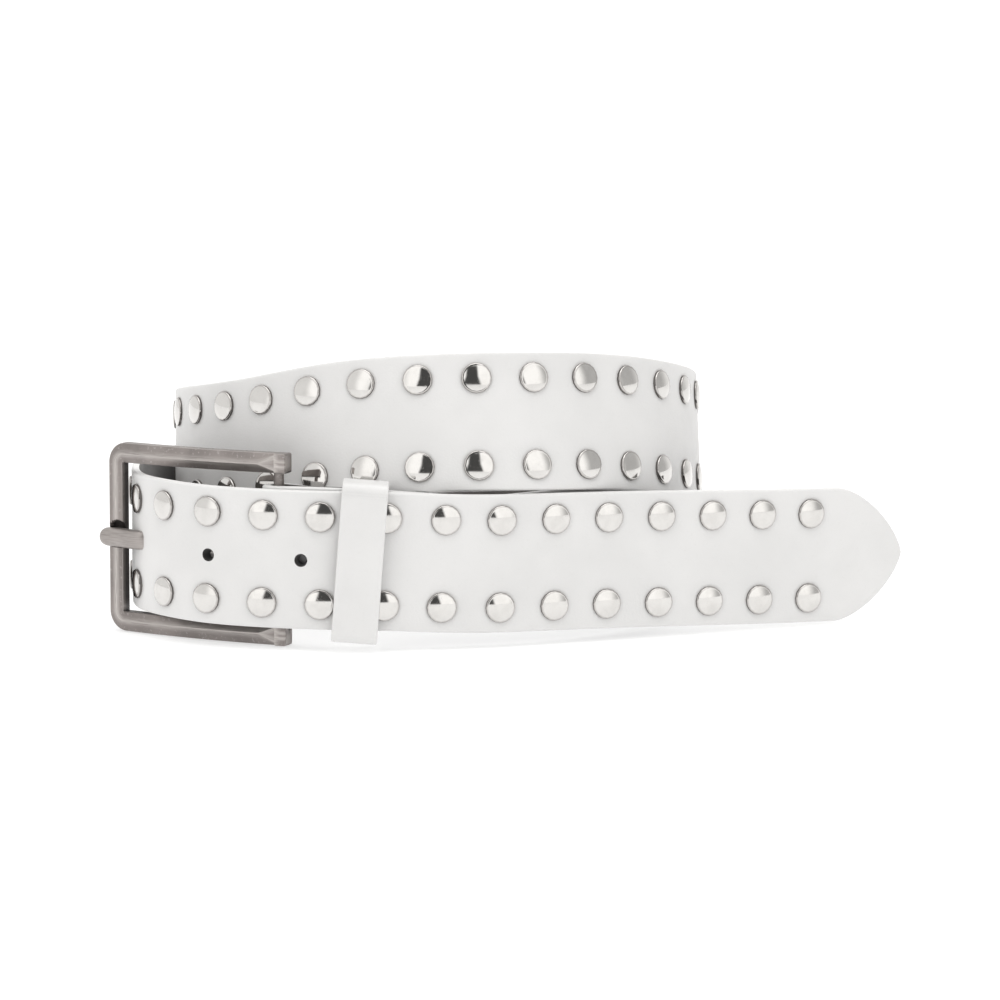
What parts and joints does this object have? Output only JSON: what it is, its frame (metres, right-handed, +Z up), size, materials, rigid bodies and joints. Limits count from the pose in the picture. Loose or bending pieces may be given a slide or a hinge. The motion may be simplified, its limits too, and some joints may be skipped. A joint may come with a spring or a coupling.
{
  "type": "studded belt",
  "caption": "White leather belt with two rows of domed studs, fastened with a prong buckle and keeper and coiled twice, standing on its edge.",
  "frame": {"origin": "middle of the belt's footprint, on the surface it stands on", "axes": "+X towards the pointed tail, along the front run; +Y from the front run to the back of the coil; +Z up, across the strap's width"},
  "size_m": [0.2398, 0.177, 0.0847],
  "materials": {
    "white_leather": "smooth semi-matte white leather with fine grain",
    "stud_nickel": "polished nickel domes",
    "antique_nickel": "satin brushed antique nickel"
  },
  "bodies": {
    "root": {"strap": "white_leather", "keeper": "white_leather", "buckle_frame": "antique_nickel", "buckle_bar": "antique_nickel", "prong": "antique_nickel", "stud_top_01": "stud_nickel", "stud_bottom_01": "stud_nickel", "stud_top_02": "stud_nickel", "stud_bottom_02": "stud_nickel", "stud_top_03": "stud_nickel", "stud_bottom_03": "stud_nickel", "stud_top_04": "stud_nickel", "stud_bottom_04": "stud_nickel", "stud_top_05": "stud_nickel", "stud_bottom_05": "stud_nickel", "stud_top_06": "stud_nickel", "stud_bottom_06": "stud_nickel", "stud_top_07": "stud_nickel", "stud_bottom_07": "stud_nickel", "stud_top_08": "stud_nickel", "stud_bottom_08": "stud_nickel", "stud_top_09": "stud_nickel", "stud_bottom_09": "stud_nickel", "stud_top_10": "stud_nickel", "stud_bottom_10": "stud_nickel", "stud_top_11": "stud_nickel", "stud_bottom_11": "stud_nickel", "stud_top_12": "stud_nickel", "stud_bottom_12": "stud_nickel", "stud_top_13": "stud_nickel", "stud_bottom_13": "stud_nickel", "stud_top_14": "stud_nickel", "stud_bottom_14": "stud_nickel", "stud_top_15": "stud_nickel", "stud_bottom_15": "stud_nickel", "stud_top_16": "stud_nickel", "stud_bottom_16": "stud_nickel", "stud_top_17": "stud_nickel", "stud_bottom_17": "stud_nickel", "stud_top_18": "stud_nickel", "stud_bottom_18": "stud_nickel", "stud_top_19": "stud_nickel", "stud_bottom_19": "stud_nickel", "stud_top_20": "stud_nickel", "stud_bottom_20": "stud_nickel"}
  },
  "joints": []
}
